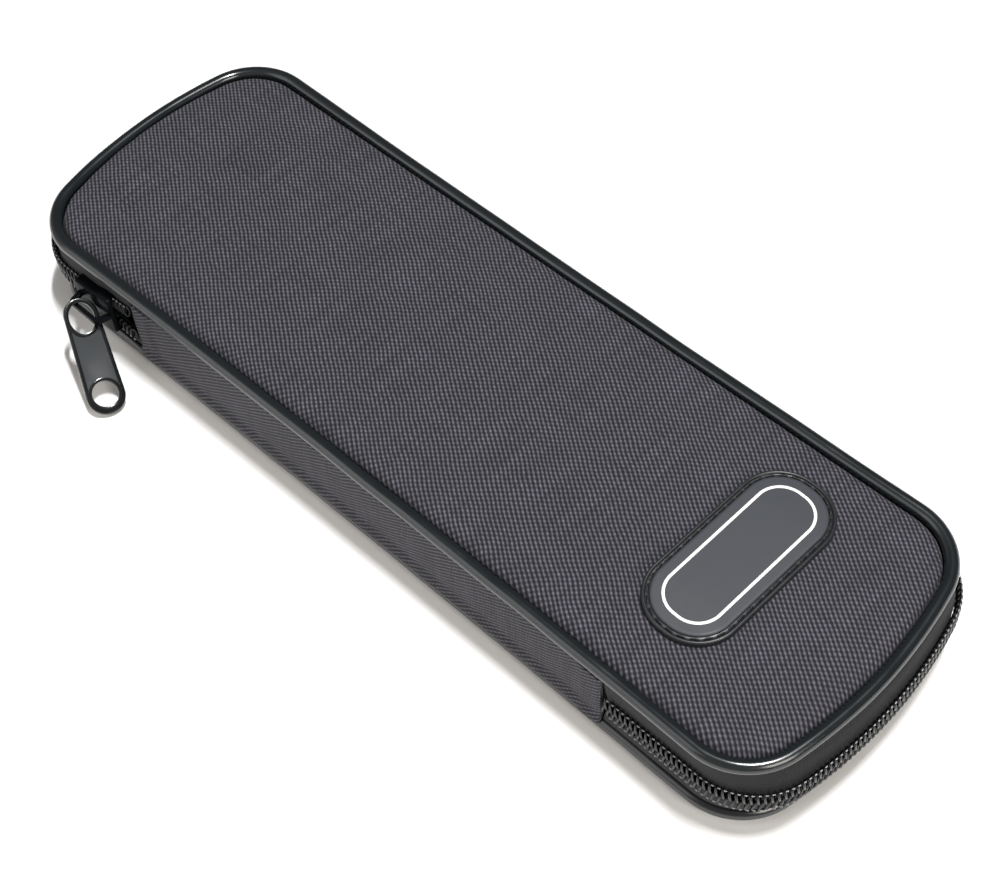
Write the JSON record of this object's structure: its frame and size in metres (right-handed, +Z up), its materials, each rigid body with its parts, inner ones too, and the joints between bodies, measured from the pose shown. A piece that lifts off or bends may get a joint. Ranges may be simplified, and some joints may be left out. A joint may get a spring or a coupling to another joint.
{
  "type": "otoscope carry case",
  "caption": "Slim padded case with a piped lid and base, a fabric spine and a three-sided coil zipper, lined inside with elastic straps and a pocket.",
  "frame": {"origin": "middle of the base cover's flat underside", "axes": "+X along the case towards the badge end, +Y across it from the spine side to the zipper side, +Z up through the lid"},
  "size_m": [0.2186, 0.0878, 0.0268],
  "materials": {
    "woven_cover": "coarse woven polyester, matt",
    "vinyl_piping": "glossy soft vinyl",
    "foam": "closed-cell foam, matt",
    "stiffener_board": "pressed fibre board",
    "lining_cloth": "brushed knit, matt",
    "binding_tape": "woven bias tape",
    "zipper_tape": "ribbed woven tape",
    "zipper_coil": "satin monofilament",
    "elastic": "ribbed elastic",
    "slider_enamel": "glossy black enamel",
    "badge_rubber": "satin moulded rubber",
    "badge_print": "printed line"
  },
  "bodies": {
    "base": {"base_cover": "woven_cover", "base_foam": "foam", "base_board": "stiffener_board", "base_lining": "lining_cloth", "base_piping": "vinyl_piping", "base_seam_binding": "binding_tape", "base_zip_tape": "zipper_tape", "base_coil": "zipper_coil", "handle_strap": "elastic", "head_strap": "elastic"},
    "spine": {"spine_panel": "woven_cover", "spine_pad": "foam", "spine_lining": "lining_cloth"},
    "lid": {"lid_cover": "woven_cover", "lid_foam": "foam", "lid_board": "stiffener_board", "lid_lining": "lining_cloth", "lid_piping": "vinyl_piping", "lid_seam_binding": "binding_tape", "lid_zip_tape": "zipper_tape", "lid_coil": "zipper_coil", "specula_pocket": "lining_cloth", "pocket_hem": "elastic", "badge_patch": "badge_rubber", "badge_line": "badge_print"},
    "slider": {"zip_slider": "slider_enamel"},
    "pull": {"pull_tab": "slider_enamel"}
  },
  "joints": [
    {"name": "spine_fold", "type": "hinge", "parent": "base", "child": "spine", "pos_m": [0, -0.0358, 0.0047], "axis": [1, 0, 0], "range_deg": [0, 88]},
    {"name": "lid_fold", "type": "hinge", "parent": "spine", "child": "lid", "pos_m": [0, -0.0358, 0.0209], "axis": [1, 0, 0], "range_deg": [0, 88]},
    {"name": "slider_travel", "type": "slide", "parent": "base", "child": "slider", "axis": [-1, 0, 0], "range_m": [0, 0.003]},
    {"name": "pull_swing", "type": "hinge", "parent": "slider", "child": "pull", "pos_m": [-0.08075, -0.03962, 0.0128], "axis": [-1, 0, 0], "range_deg": [0, 105]}
  ],
  "couplings": [
    {"joint": "lid_fold", "follows": "spine_fold", "ratio": 1}
  ]
}
